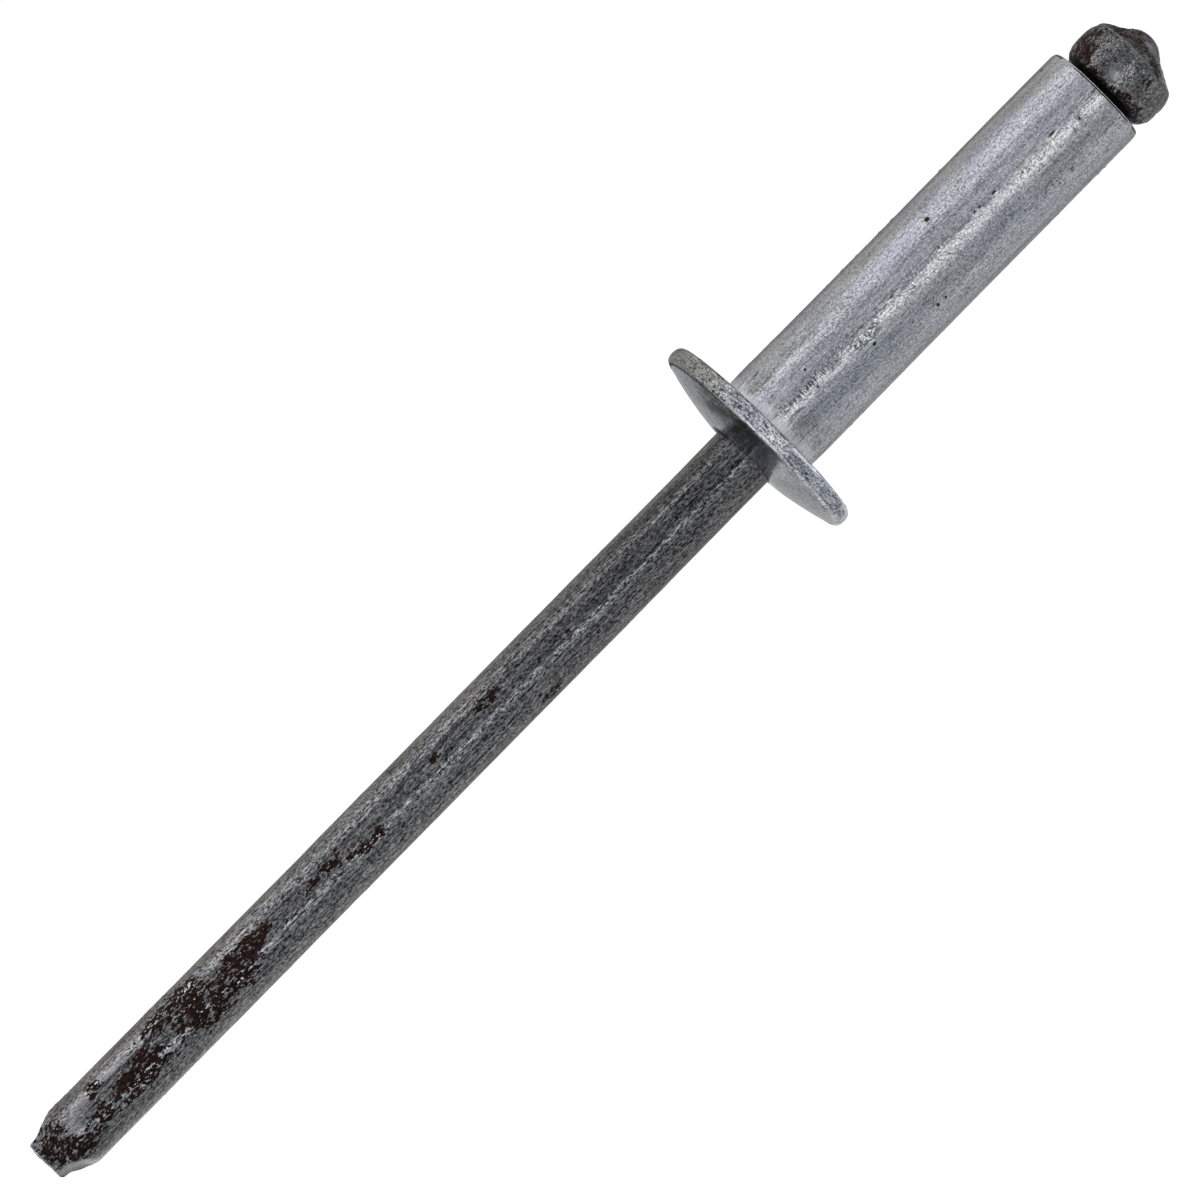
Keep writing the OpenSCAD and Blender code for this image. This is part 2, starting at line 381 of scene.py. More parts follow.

# %% [markdown]
# Stains, painted highlights and painted shade
# Handling leaves soft brown stains on the wall. The rim's upper side gets painted shade in
# the same brown, darkest where the lamp's highlight would fall. The rim's two edges and the
# end's lip get a painted highlight line. The pressed dome gets painted shade above, where
# the shank shadows it, and a painted highlight below, with a ragged border; two faint painted
# highlight bands run along the wall, and painted light and dark bands cross the rim. All
# these painted highlights and shades go into one number, plus for lighter. Another says how
# much of the turning marks shows: fully on the rim, and less where the die pressed the dome
# and the seat.

# %% Stains, painted highlights and painted shade of the sleeve
# The same five numbers as for the pits, with a strength in place of the depth
SLEEVE_STAINS = [
    (1.5, -42.0, 2.4, 5.5, 1.25), (0.9, -40.0, 0.7, 4.5, 0.6), (1.9, -38.5, 1.7, 1.4, 0.9),
    (6.5, -58.0, 5.0, 7.0, 0.35), (11.5, -62.0, 2.5, 6.0, 0.3), (0.75, 48.0, 0.25, 7.0, 0.6),
    (1.1, 30.0, 0.5, 5.0, 0.35), (0.8, 22.0, 0.3, 4.0, 0.5), (4.0, 40.0, 1.5, 6.0, 0.3),
    (7.5, 52.0, 2.5, 6.0, 0.3), (3.0, 150.0, 3.0, 10.0, 0.5), (8.0, 200.0, 4.0, 12.0, 0.4),
    (5.0, 110.0, 2.0, 8.0, 0.4),
]
# turn in degrees, width in degrees, and how much lighter or darker, as painted highlight and shade bands
WALL_HIGHLIGHT_BANDS = [(-14, 5, 0.22), (-55, 5, 0.16)]
RIM_LIGHT_AND_SHADE_BANDS = [(37, 10, 0.5), (58, 9, -0.35)]

on_rim = near(along, -RIM_H / 2, 0.3, 4) * ramp(radius, 3.0, 3.2)
dome_face = ramp(along, -RIM_H + 0.01, -RIM_H - 0.03) * outside
seat_face = ramp(along, -0.04, -0.01) * ramp(radius, 1.70, 1.76) * ramp(radius, 3.19, 3.13)
pressed = np.clip(dome_face + seat_face, 0, 1)
flange = ramp(radius, SLEEVE_R + 0.08, SLEEVE_R + 0.18) * outside + dome_face * ramp(radius, 1.8, 1.6)

stain_and_shade = np.clip(spots(along, turn, SLEEVE_STAINS), 0, 1) * wall
stain_and_shade *= 0.85 + 0.45 * lumps(shell * (0.25, 1, 1), 0.2, 37, 3)
# Painted shade: the rim's upper side is darker, most where the lamp's highlight would fall
rim_upper_shade = 0.34 * ramp(turn_deg, -16, -23) + 0.55 * ramp(turn_deg, -28, -42)
rim_upper_shade += 0.45 * near(turn_deg, -35.5, 4.5)
rim_upper_shade *= on_rim * ramp(np.abs(turn_deg), 150, 120)

# Painted highlights: a line of light on the rim's seat edge, on the dome's edge and on the end's lip
seat_glint = 0.7 * near(along, -0.080, 0.045) * ramp(radius, 3.1, 3.25)
seat_glint *= ramp(lumps(shell, 0.6, 43, 2), -0.6, 0.2)
seat_glint *= 1 + 1.8 * ramp(turn_deg, 3, 8) * ramp(turn_deg, 42, 30)
dome_glint = 0.8 * near(along, 0.06 - RIM_H, 0.025) * ramp(radius, 3.1, 3.2)
dome_glint *= ramp(turn_deg, -26, -14) * ramp(np.abs(turn_deg), 80, 60)
end_glint = ramp(along, SLEEVE_L - 0.035, SLEEVE_L - 0.01) * outside
# Painted highlight bands along the wall and beside the flange, and painted light and dark bands on the rim
flange_side_highlight = 0.25 * near(along, 0.9, 0.6) * near(turn_deg, -20, 10)
painted_bands = (stripes(turn_deg, WALL_HIGHLIGHT_BANDS) + flange_side_highlight) * wall + stripes(turn_deg, RIM_LIGHT_AND_SHADE_BANDS) * on_rim
# Painted shade on the dome's upper side, where the shank shadows it, and a painted highlight lower down
dome_painted_shade = 1.55 * near(turn_deg, -34, 19) * ramp(radius, 1.4, 2.5)
dome_painted_shade += 1.30 * near(turn_deg, -15, 8) * ramp(radius, 1.2, 1.7) - 1.10 * near(turn_deg, 22, 14)
dome_painted_shade *= dome_face * (0.8 + 0.4 * lumps(shell, 0.3, 47, 3))
shade = end_glint + seat_glint + dome_glint + painted_bands - dome_painted_shade
print("The sleeve's shade goes from", round(float(shade.min()), 2), "to", round(float(shade.max()), 2))

# %% [markdown]
# The sleeve's mesh
# The grid becomes one closed mesh that carries its wear, and its painted highlights and
# shade, with it. It takes the place of the plain solid of the CAD model, and rides on the one
# body that the rivet has.

# %% Mesh of the sleeve
# These numbers carry painted light too: the dark marks hold the painted shadow under the dome's edge, the
# stains hold the rim's painted shade, and one number holds all painted highlights and shade
sleeve_values = {
    "dirt_and_shadow": np.clip(dirt_and_shadow, 0, 1),
    "comb": comb,
    "stain_and_shade": np.clip(stain_and_shade + rim_upper_shade, 0, 1),
    "flange": flange,
    "crumple": np.clip(crumple / FULL_CRUMPLE, 0, 1) * wall,
    "lined": np.clip(lined, 0, 1),
    "shade": shade,
    "pressed": pressed,
    "turned": flange - 0.8 * pressed + 0.45 * dome_face,
}
sleeve = build("sleeve_and_flange", place(shell[..., 0], shell[..., 1], shell[..., 2]), sleeve_values)
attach(sleeve, "root")
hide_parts("rivet_body")

# %% [markdown]
# The mandrel's profile
# The mandrel is one piece of wire from its tail to its head, solid all through. Its
# radius follows the shank, and then swells into the head: an underside that turns quickly
# outwards, a barrel-shaped side, a cone and a round nipple. A smooth curve through a few
# measured places gives that. The rows lie closest where rust needs them.

# %% Profile of the mandrel
SHANK_R = 0.983
# Places along the line where the spacing of the rows changes, and the rows in each stretch
TAIL_END, RUSTY_TO, HIDDEN_FROM = -28.54, -18.5, -0.6
NECK_FROM, NECK_TO, HEAD_UNDER = 11.1, 12.3, 13.24
CUT_ROWS, RUSTY_ROWS, PLAIN_ROWS = 14, 230, 140
HIDDEN_ROWS, NECK_ROWS, LAST_ROWS, HEAD_ROWS = 30, 24, 8, 100
# Radius and height above the head's underside
HEAD_PLACES = np.array([
    (0.983, 0.0), (1.14, 0.012), (1.27, 0.08), (1.37, 0.19), (1.44, 0.32), (1.495, 0.54),
    (1.506, 0.8), (1.487, 1.08), (1.43, 1.27), (1.35, 1.39), (1.2, 1.505), (0.99, 1.63),
    (0.8, 1.735), (0.66, 1.83), (0.52, 1.95), (0.36, 2.07), (0.2, 2.13), (0.08, 2.15),
])
NIPPLE_TOP = 2.152


def through(places, count):
    """Smooth curve through places, at even steps of its length: cubic Hermite pieces whose
    slope at a place is the mean step to its two neighbours."""
    steps = np.concatenate([[0], np.cumsum(np.linalg.norm(np.diff(places, axis=0), axis=1))])
    slope = np.gradient(places, steps, axis=0)
    at = np.linspace(0, steps[-1], count)
    left = np.clip(np.searchsorted(steps, at, side="right") - 1, 0, len(steps) - 2)
    span = (steps[left + 1] - steps[left])[:, None]
    t = (at - steps[left])[:, None] / span
    return ((1 + 2 * t) * (1 - t) ** 2 * places[left] + t * (1 - t) ** 2 * span * slope[left]
            + t ** 2 * (3 - 2 * t) * places[left + 1] - t ** 2 * (1 - t) * span * slope[left + 1])


head_curve = through(HEAD_PLACES, HEAD_ROWS)
shank_along = np.concatenate([
    np.full(CUT_ROWS, TAIL_END),
    np.linspace(TAIL_END, RUSTY_TO, RUSTY_ROWS, endpoint=False),
    np.linspace(RUSTY_TO, HIDDEN_FROM, PLAIN_ROWS, endpoint=False),
    np.linspace(HIDDEN_FROM, NECK_FROM, HIDDEN_ROWS, endpoint=False),
    np.linspace(NECK_FROM, NECK_TO, NECK_ROWS, endpoint=False),
    np.linspace(NECK_TO, HEAD_UNDER, LAST_ROWS, endpoint=False),
])
# The first rows fill the cut end, in rings that grow from its middle to the full radius
shank_share = np.ones(len(shank_along))
shank_share[:CUT_ROWS] = np.arange(1, CUT_ROWS + 1) / (CUT_ROWS + 1)
mandrel_along = np.concatenate([shank_along, HEAD_UNDER + head_curve[:, 1]])
print("The mandrel's profile has", len(mandrel_along), "rows")

# %% [markdown]
# The mandrel's grid
# Near the end four hollows pinch the round wire down to a square, so the radius there is
# the smaller of two: that of the wire, and that of a square at the same angle. A smooth
# minimum rounds the change from one to the other, as the pinching rollers did. Two notches
# leave the break neck inside the sleeve in the same way. The nipple and the cut end are
# shifted sideways, because the punch and the cutter sat a little high. This profile runs
# the other way than the sleeve's, so the columns do too, and the faces point outwards.

# %% Grid of the mandrel
MANDREL_COLUMNS = 160
TAIL_W, TAIL_TURN, TAIL_L = 1.08, 13.3, 1.6
# The flanks open out evenly by FLARE, and by PINCH_IN more between two distances from the end
FLARE, PINCH_IN, PINCH_FROM, PINCH_TO, FLANK_BLEND = 0.1, 0.40, 0.20, 1.42, 0.06
NECK_W, NECK_AT, NECK_REACH = 1.2, 11.74, 0.5
NIPPLE_OFF, TAIL_OFF = 0.094, 0.05


def flat_sided(turn, distance, faces, first_deg):
    """Radius of a form with flat faces at equal angles: distance / cos(angle from the nearest face)."""
    swing = (turn - np.radians(first_deg) + np.pi / faces) % (2 * np.pi / faces) - np.pi / faces
    return distance / np.maximum(np.cos(swing), 0.2)


def smaller(a, b, blend):
    """Smooth minimum: a - h^2 / 4 blend where the two are within `blend` of each other."""
    h = np.clip(blend - np.abs(a - b), 0, None)
    return np.minimum(a, b) - h * h / (4 * blend)


mandrel_turn = -np.arange(MANDREL_COLUMNS) * 2 * np.pi / MANDREL_COLUMNS
turn = np.repeat(mandrel_turn[None], len(mandrel_along), axis=0)
along = np.repeat(mandrel_along[:, None], MANDREL_COLUMNS, axis=1)
from_end, from_under = along - TAIL_END, along - HEAD_UNDER
flank = TAIL_W / 2 + FLARE * from_end + PINCH_IN * ramp(from_end, PINCH_FROM, PINCH_TO)
pinched = smaller(np.full_like(along, SHANK_R), flat_sided(turn, flank, 4, -TAIL_TURN), FLANK_BLEND)
radius = np.where(from_end < TAIL_L, pinched, SHANK_R)
neck = flat_sided(turn, NECK_W / 2 + np.abs(along - NECK_AT), 2, 90)
radius = np.where(np.abs(along - NECK_AT) < NECK_REACH, np.minimum(radius, neck), radius)
radius[:len(shank_along)] *= shank_share[:, None]
radius[len(shank_along):] = head_curve[:, :1]
shift = NIPPLE_OFF * ramp(from_under, 1.3, 1.55) + TAIL_OFF * ramp(from_end, 1.2, 0.3)
core = np.stack([along, radius * np.cos(turn), radius * np.sin(turn) - shift], axis=-1)
print("The mandrel's grid has", core.shape[0], "rows and", core.shape[1], "columns")

# %% [markdown]
# Where the rust sits
# Rust starts in patches: most of the tail's end, a trail of islands up the shank, and the
# head's side and cone. Each patch is a soft spot from a list, and a field of lumps makes
# their borders ragged. A few have rust that is thick enough to hide the steel. Other places
# were rubbed bare and stay light, and a thin ring at the shoulder of the head is a painted
# highlight, light in the same way.

# %% Places of the rust
# along in mm, turn in degrees, length in mm, width in degrees, strength
RUST_PATCHES = [
    (-28.05, -14.0, 0.75, 46.0, 1.4), (-27.5, 26.0, 0.5, 18.0, 1.0), (-26.2, -35.0, 0.32, 13.0, 1.9),
    (-26.45, 13.0, 0.9, 20.0, 1.0), (-25.3, 1.0, 0.9, 26.0, 1.1), (-24.6, 5.0, 0.7, 24.0, 1.05),
    (-23.4, -38.0, 1.0, 16.0, 1.35), (-22.6, -50.0, 0.9, 10.0, 1.3), (-22.8, -1.0, 0.9, 24.0, 1.15),
    (-22.0, -7.0, 0.9, 25.0, 1.2), (-22.0, 31.0, 0.9, 11.0, 0.95), (-21.1, 2.0, 0.8, 25.0, 1.15),
    (-20.4, -14.0, 0.7, 16.0, 0.95), (-19.8, -17.0, 0.45, 10.0, 0.9), (-17.9, -17.0, 1.1, 15.0, 0.82),
    (-17.4, -14.0, 0.5, 10.0, 0.95), (-16.1, 1.0, 0.9, 14.0, 0.84), (-15.9, 10.0, 0.4, 8.0, 1.0),
    (-13.0, -15.0, 0.27, 8.0, 1.45), (-10.85, -21.0, 0.62, 11.0, 1.6), (-9.5, 54.0, 0.5, 9.0, 1.5),
    (-7.9, -6.0, 0.16, 5.0, 1.0),
    (-27.0, 135.0, 1.5, 32.0, 1.1), (-25.0, 190.0, 2.2, 50.0, 1.1), (-22.5, 150.0, 1.6, 30.0, 1.1),
    (-20.0, 210.0, 1.6, 26.0, 1.0), (-27.5, 260.0, 0.9, 26.0, 1.0), (-15.5, 170.0, 0.8, 18.0, 0.95),
    (-23.0, -80.0, 0.7, 12.0, 0.75), (-6.5, 140.0, 0.5, 12.0, 1.0), (-11.5, 225.0, 0.5, 14.0, 1.0),
    (13.65, -60.0, 0.5, 24.0, 1.4), (14.25, -62.0, 0.5, 14.0, 1.2), (13.45, -10.0, 0.13, 90.0, 0.8),
    (13.6, 20.0, 0.2, 11.0, 0.72), (13.6, 42.0, 0.2, 13.0, 0.7), (15.0, -5.0, 0.3, 85.0, 0.96),
    (14.85, -42.0, 0.22, 14.0, 1.1), (14.72, 30.0, 0.16, 12.0, 1.0), (14.3, 26.0, 0.16, 8.0, 0.95),
    (14.1, -14.0, 0.1, 5.0, 1.1), (13.7, 120.0, 0.45, 34.0, 1.2), (14.95, 180.0, 0.3, 70.0, 1.15),
    (13.6, 200.0, 0.4, 40.0, 1.2), (14.2, 160.0, 0.2, 12.0, 1.0),
]
THICK_PATCHES = [
    (-26.2, -36.0, 0.24, 9.0, 0.55), (-23.2, -47.0, 0.6, 7.0, 0.3), (-10.8, -22.0, 0.4, 7.0, 0.35),
    (-9.4, 52.0, 0.25, 6.0, 0.5),
]
BARE_PATCHES = [
    (-28.1, 77.0, 0.9, 26.0, 1.0), (-27.35, -4.0, 0.22, 16.0, 0.8), (-27.0, -26.0, 0.8, 14.0, 0.55),
    (-25.5, -34.0, 1.6, 10.0, 0.45), (-26.7, 12.0, 0.25, 8.0, 0.5), (13.78, -4.0, 0.2, 9.0, 0.9),
    (14.3, 44.0, 0.45, 14.0, 0.15), (15.12, 20.0, 0.13, 24.0, 0.9), (14.98, -38.0, 0.12, 16.0, 0.7),
    (-28.1, 167.0, 0.8, 22.0, 0.7), (-28.1, 257.0, 0.8, 24.0, 0.8), (14.0, 140.0, 0.25, 12.0, 0.8),
]
# Overlapping patches add up to this at most, and rust is full at this sum
PATCH_CAP, FULL_RUST = 1.15, 1.05

# Painted highlight: a thin light ring on the edge of the head's shoulder
shoulder_highlight = near(radius, 1.31, 0.035) * ramp(from_under, 1.1, 1.2)
bare_and_highlight = np.maximum(np.clip(spots(along, turn, BARE_PATCHES), 0, 1), 0.6 * shoulder_highlight)
patch = np.minimum(spots(along, turn, RUST_PATCHES), PATCH_CAP) + spots(along, turn, THICK_PATCHES)
ragged = lumps(core * (0.6, 1, 1), 0.42, 41, 5, 0.66)
rust = np.clip((patch + 0.34 * ragged - 0.5 * bare_and_highlight) / FULL_RUST, 0, 1)
print("Rust touches", round(100 * float(np.mean(rust > 0.5))), "% of the mandrel's points")

# %% [markdown]
# Relief of the mandrel
# Rust stands up from the steel as a crust and eats pits into it. The drawn shank has long
# shallow waves and fine fibres, and the forged head is lumpy like a hammered pebble. Points
# move straight away from the line, except on the cone and nipple, where they move mostly
# forwards, as those faces do. The stretch inside the sleeve stays smooth. The cutter left a
# small step in the cut end, so the end's points on one side move in.

# %% Move the points of the mandrel
# Heights in millimetres of the uneven forms
CRUST, CRUST_LUMPS, EATEN = 0.006, 0.020, 0.018
WAVES, FIBRES, HEAD_LUMPS, HEAD_GRAIN = 0.006, 0.0028, 0.020, 0.009
STEP_W, STEP_H, STEP_EDGE, CUT_LUMPS = 0.1, 0.07, 0.03, 0.02

in_head = ramp(from_under, 0, 0.1)
in_view = 1 - ramp(along, -1.2, -0.9) * ramp(along, 13.2, 13.1)
crust = rust * (CRUST + CRUST_LUMPS * lumps(core, 0.13, 53, 3))
eaten = EATEN * ramp(lumps(core, 0.25, 59, 2), 0.5, 1.0) * np.clip(patch, 0, 1)
waved = WAVES * lumps(core * (0.25, 1, 1), 0.9, 61, 3) + FIBRES * lumps(core * (0.16, 1, 1), 0.075, 67, 2)
forged = HEAD_LUMPS * lumps(core, 0.6, 171, 3) + HEAD_GRAIN * lumps(core, 0.16, 73, 2)
move = in_view * (crust - eaten + np.where(in_head > 0, in_head * forged, waved)) * ramp(radius, 0.0, 0.5)
outward = np.stack([np.zeros_like(turn), np.cos(turn), np.sin(turn)], axis=-1)
on_cone = ramp(from_under, 1.2, 2.0)[..., None]
outward = outward * (1 - 0.7 * on_cone) + on_cone * (0.85, 0, 0)
core = core + move[..., None] * outward

step_turn = np.radians(90 - TAIL_TURN)
across_end = core[..., 1] * np.cos(step_turn) + core[..., 2] * np.sin(step_turn)
step_at = TAIL_W / 2 - STEP_W
step = STEP_H * ramp(across_end, step_at - STEP_EDGE, step_at + STEP_EDGE)
core[..., 0] += ramp(from_end, 0.4, 0) * (step + CUT_LUMPS * lumps(core * (0, 1, 1), 0.3, 79, 3))
print("The mandrel's points move by", round(float(move.min()), 3), "to", round(float(move.max()), 3), "mm")

# %% [markdown]
# Painted reflection bands, tint and the mandrel's mesh
# Lighter and darker stripes along the wire are painted highlight and painted shade, bands
# of reflection as a round wire shows them, and they end where the tail was pinched. They
# are laid out for the front and repeated behind, by folding the angle at top and bottom.
# One narrow stripe, where the bright reflection falls, has a painted cooler tint, fainter
# and wider on the head, and painted shade darkens the head's underside, which faces the
# sleeve's end. The mesh takes the place of the plain solid.

# %% Mesh of the mandrel
# turn in degrees, width in degrees, and how much lighter or darker, as painted highlight and shade bands
SHANK_REFLECTION_BANDS = [(-26, 3.6, -0.47), (-10, 3.2, -0.22), (-1, 3.4, -0.52), (11, 5.0, 0.24), (27, 6.0, 0.16)]

folded = np.degrees(np.arcsin(np.sin(turn)))
# Painted highlight and shade bands along the shank; the band 48 degrees up is painted lighter near the tail
# and darker near the flange
marks = stripes(folded, SHANK_REFLECTION_BANDS)
marks *= 1 + 0.25 * lumps(core * (0.08, 1, 1), 0.5, 83, 2)
marks += (0.36 - 0.80 * ramp(along, -17.5, -1.0)) * near(folded, -48, 13, 4)
marks *= (1 - in_head) * ramp(from_end, 1.0, 2.5)
# Painted light in these numbers: the reflection bands, a cooler tint where the bright reflection falls, and
# the painted shade under the head
mandrel_values = {
    "rust": rust,
    "bare_and_highlight": bare_and_highlight,
    "shade_under_head": ramp(from_under, 0.26, 0.10) * in_head,
    "marks": marks,
    "cool": (1 - 0.75 * in_head) * near(folded, 4, 5 + 7 * in_head),
}
ends = np.array([[TAIL_END, 0.0, -TAIL_OFF], [HEAD_UNDER + NIPPLE_TOP, 0.0, -NIPPLE_OFF]])
rings = place(core[..., 0], core[..., 1], core[..., 2] + HANG)
closing = place(ends[:, 0], ends[:, 1], ends[:, 2] + HANG)
mandrel = build("mandrel_wire", rings, mandrel_values, closing)
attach(mandrel, "root")
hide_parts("mandrel")

# %% [markdown]
# Shader maths as Python
# A material is a graph of nodes, and long chains of Math nodes are hard to read. This
# small class wraps one output of the graph, so that `a * 2 + b` adds the nodes it needs.
# Any other node comes from one method that takes its type, its settings and its inputs.
# The rest are the few moves that metal needs: a smooth step, a mix of two colours, thin
# lines where a field crosses a level, noise of a size in millimetres, and the numbers that
# the mesh holds.

# %% A wire in a shader graph
class Wire:
    """One output of a node. Arithmetic on it adds Math nodes."""

    def __init__(self, tree, output=None):
        self.tree, self.output = tree, output

    def node(self, kind, settings=None, out=0, **inputs):
        """Adds a node and gives its output. An input is named with _ for each space, or i and its number."""
        made = self.tree.nodes.new(kind)
        for name, value in (settings or {}).items():
            setattr(made, name, value)
        for name, value in inputs.items():
            key = int(name[1:]) if name[1:].isdigit() else name.replace("_", " ")
            if isinstance(value, Wire):
                self.tree.links.new(value.output, made.inputs[key])
            else:
                made.inputs[key].default_value = value
        return Wire(self.tree, made.outputs[out] if len(made.outputs) else None)

    def maths(self, operation, *values):
        """Adds a Math node that works on these values, each a wire or a plain number."""
        inputs = {"i%d" % order: value for order, value in enumerate(values)}
        return self.node("ShaderNodeMath", {"operation": operation}, **inputs)

    def ramp(self, start, end, low=0.0, high=1.0):
        """Goes smoothly from low to high while this wire goes from start to end."""
        return self.node("ShaderNodeMapRange", {"interpolation_type": "SMOOTHSTEP"}, Value=self,
                         From_Min=start, From_Max=end, To_Min=low, To_Max=high)

    def lines(self, level, outer, inner):
        """Thin lines where this wire crosses a level: 0 when `outer` away from it, 1 within `inner`."""
        return self.maths("ABSOLUTE", self - level).ramp(outer, inner)

    def blend(self, zero, one):
        """Mixes two colours: zero where this wire is 0, one where it is 1."""
        return self.node("ShaderNodeMix", {"data_type": "RGBA"}, out=2, i0=self, i6=zero, i7=one)

    def times(self, factor):
        """This colour, brighter or darker by a factor."""
        return self.node("ShaderNodeVectorMath", {"operation": "SCALE"}, i0=self, Scale=factor)

    def most(self, other):
        """The larger of this wire and another wire or number."""
        return self.maths("MAXIMUM", self, other)

    def held(self, name):
        """The number that the mesh holds under this name."""
        return self.node("ShaderNodeAttribute", {"attribute_name": name}, out=2)

    def grain(self, size, stretch=(1, 1, 1), detail=3.0, roughness=0.55):
        """Noise of about 0 to 1 at this place, with lumps `size` millimetres across, longer by `stretch`."""
        scale = tuple(1 / (MM * size * part) for part in stretch)
        spot = self.node("ShaderNodeVectorMath", {"operation": "MULTIPLY"}, i0=self, i1=scale)
        return self.node("ShaderNodeTexNoise", Vector=spot, Scale=1.0, Detail=detail, Roughness=roughness)

    def __add__(self, other):
        return self.maths("ADD", self, other)

    def __radd__(self, other):
        return self.maths("ADD", other, self)

    def __sub__(self, other):
        return self.maths("SUBTRACT", self, other)

    def __rsub__(self, other):
        return self.maths("SUBTRACT", other, self)

    def __mul__(self, other):
        return self.maths("MULTIPLY", self, other)

    def __rmul__(self, other):
        return self.maths("MULTIPLY", other, self)


def empty_nodes(owner):
    """Clears the node tree of a material or world, and gives a wire to start from."""
    owner.use_nodes = True
    owner.node_tree.nodes.clear()
    return Wire(owner.node_tree)


def new_metal(name):
    """A material, its start wire, any point's place on the rivet's own line, and its distance along it."""
    material = bpy.data.materials.new(name)
    start = empty_nodes(material)
    here = start.node("ShaderNodeTexCoord", out=3)
    here = start.node("ShaderNodeVectorMath", {"operation": "SUBTRACT"}, i0=here, i1=tuple(MM * SEAT))
    turned_back = (0, float(TILT), 0)
    here = start.node("ShaderNodeMapping", {"vector_type": "POINT"}, Vector=here, Rotation=turned_back)
    return material, start, here, start.node("ShaderNodeSeparateXYZ", Vector=here)


print("A wire has", sum(callable(part) for part in vars(Wire).values()), "methods")

# %% [markdown]
# Grains of the aluminium
# The sleeve is soft aluminium that has lost its shine. It is finely crinkled all over,
# carries lengthwise rubbing marks and scratches, and has small dark flecks where dirt has
# settled. Each of these is a noise of its own size, longer along or across. The rubbed
# collar beside the flange is almost free of them, and its border is frayed by more noise.

# %% Grains of the aluminium
aluminium, start, here, far = new_metal("sleeve_aluminium_finish")
on_flange, pressed_place = start.held("flange"), start.held("pressed")
grit = here.grain(0.060, (1.2, 1, 1), 1.0, 0.5)
fine = here.grain(0.036, (1.0, 1.3, 1.3), 0.0)
rubbed = here.grain(0.060, (26, 1, 1), 1.0)
scratch = here.grain(0.060, (9, 1, 1), 1.0)
spun = here.grain(0.034, (1.0, 2.2, 2.2), 0.0)
lathe = here.grain(0.042, (1.0, 11, 11), 1.0, 0.6)
strokes = here.grain(0.16, (1.1, 0.9, 0.9), 1.0, 0.6)
glints = here.grain(0.13, (0.6, 1.5, 1.5), 1.0, 0.6)
ticks = here.grain(0.10, (0.5, 2.6, 2.6), 0.0)
cloud = here.grain(1.1, (2.5, 1, 1), 3.0)

frayed = far + (here.grain(0.10, (8, 1, 1), 2.0) - 0.5) * (0.7 * MM)
collar = frayed.ramp(0.47 * MM, 0.27 * MM) * (1 - on_flange)
skin = 1 - collar * 0.65
flecks = here.grain(0.085, (1.8, 1, 1), 1.0, 0.6).ramp(0.70, 0.74)
flecks = flecks * cloud.ramp(0.42, 0.58) * (1 - on_flange * 0.7)
crease = strokes.lines(0.5, 0.022, 0.004) * cloud.ramp(0.35, 0.60)
glint = glints.lines(0.5, 0.026, 0.004) * cloud.ramp(0.66, 0.36)
fold = strokes.lines(0.52, 0.075, 0.025) * start.held("crumple")
print("The aluminium's grains take", len(aluminium.node_tree.nodes), "nodes")

# %% [markdown]
# Colour and gloss of the aluminium
# The metal's own colour is a cool light grey that clouds a little, paler on the collar and
# brown where it is stained; the same brown is painted shade on the rim's upper side. A level
# near 1 multiplies it: crinkles, glints and creases on the wall, turning marks on the flange,
# and the painted highlights and shade. Dirt in pits, flecks, ticks and scratches, dark lines
# in the folds and a painted shadow under the dome's edge then cover it in near black. These
# dark places and the collar are rougher than the rest, the pressed faces smoother, and where
# the dome's painted shade is deepest part of the surface is not metal.

# %% Aluminium of the sleeve
GREY_DARK, GREY_LIGHT = (0.262, 0.273, 0.306, 1), (0.316, 0.324, 0.345, 1)
GREY_RUBBED, GREY_FLANGE = (0.56, 0.565, 0.59, 1), (0.262, 0.279, 0.308, 1)
STAIN_AND_SHADE_BROWN, DIRT_AND_SHADOW_BLACK = (0.135, 0.131, 0.116, 1), (0.022, 0.020, 0.018, 1)
LEAST_ALUMINIUM = 0.1

crinkled = grit.ramp(0.36, 0.64, -0.26, 0.24) + fine.ramp(0.35, 0.65, -0.17, 0.17)
crinkled = (crinkled + glint * 0.42 - crease * 0.32) * skin
turning = spun.ramp(0.34, 0.66, -0.52, 0.48) + lathe.ramp(0.36, 0.64, -0.34, 0.32)
level = 1 + crinkled + rubbed.ramp(0.34, 0.66, -0.16, 0.14) * (1 - on_flange)
# Painted highlights and painted shade from the mesh make the metal lighter or darker
level = level + turning * start.held("turned") + start.held("shade") * 0.9
tone = cloud.ramp(0.3, 0.7).blend(GREY_DARK, GREY_LIGHT)
tone = (collar * 0.8).blend(tone, GREY_RUBBED)
tone = (on_flange * 0.5).blend(tone, GREY_FLANGE)
# Stain brown on the wall, and the same brown as painted shade on the rim's upper side
tone = (start.held("stain_and_shade") * 0.8).blend(tone, STAIN_AND_SHADE_BROWN).times(level.most(LEAST_ALUMINIUM))
# Near black for dirt, flecks, folds, ticks and scratches, and for the painted shadow under the dome's edge
dark = start.held("dirt_and_shadow").ramp(0.3, 0.7).most(flecks * 0.8).most(fold * 0.9)
dark = dark.most(start.held("comb") * ticks.ramp(0.51, 0.55) * 0.85)
dark = dark.most(scratch.ramp(0.60, 0.66) * start.held("lined") * 0.75)
tone = dark.blend(tone, DIRT_AND_SHADOW_BLACK)

height = (grit + fine * 0.5 - crease * 0.8 + glint * 0.8) * skin + rubbed * 0.6 - dark
height = height * (1 - pressed_place * 0.7)
bump = start.node("ShaderNodeBump", Strength=0.6, Distance=0.008 * MM, Height=height)
gloss = rubbed.ramp(0.3, 0.7, 0.19, 0.26) + dark * 0.3 + collar * 0.28
gloss = gloss + on_flange * 0.10 - pressed_place * 0.17
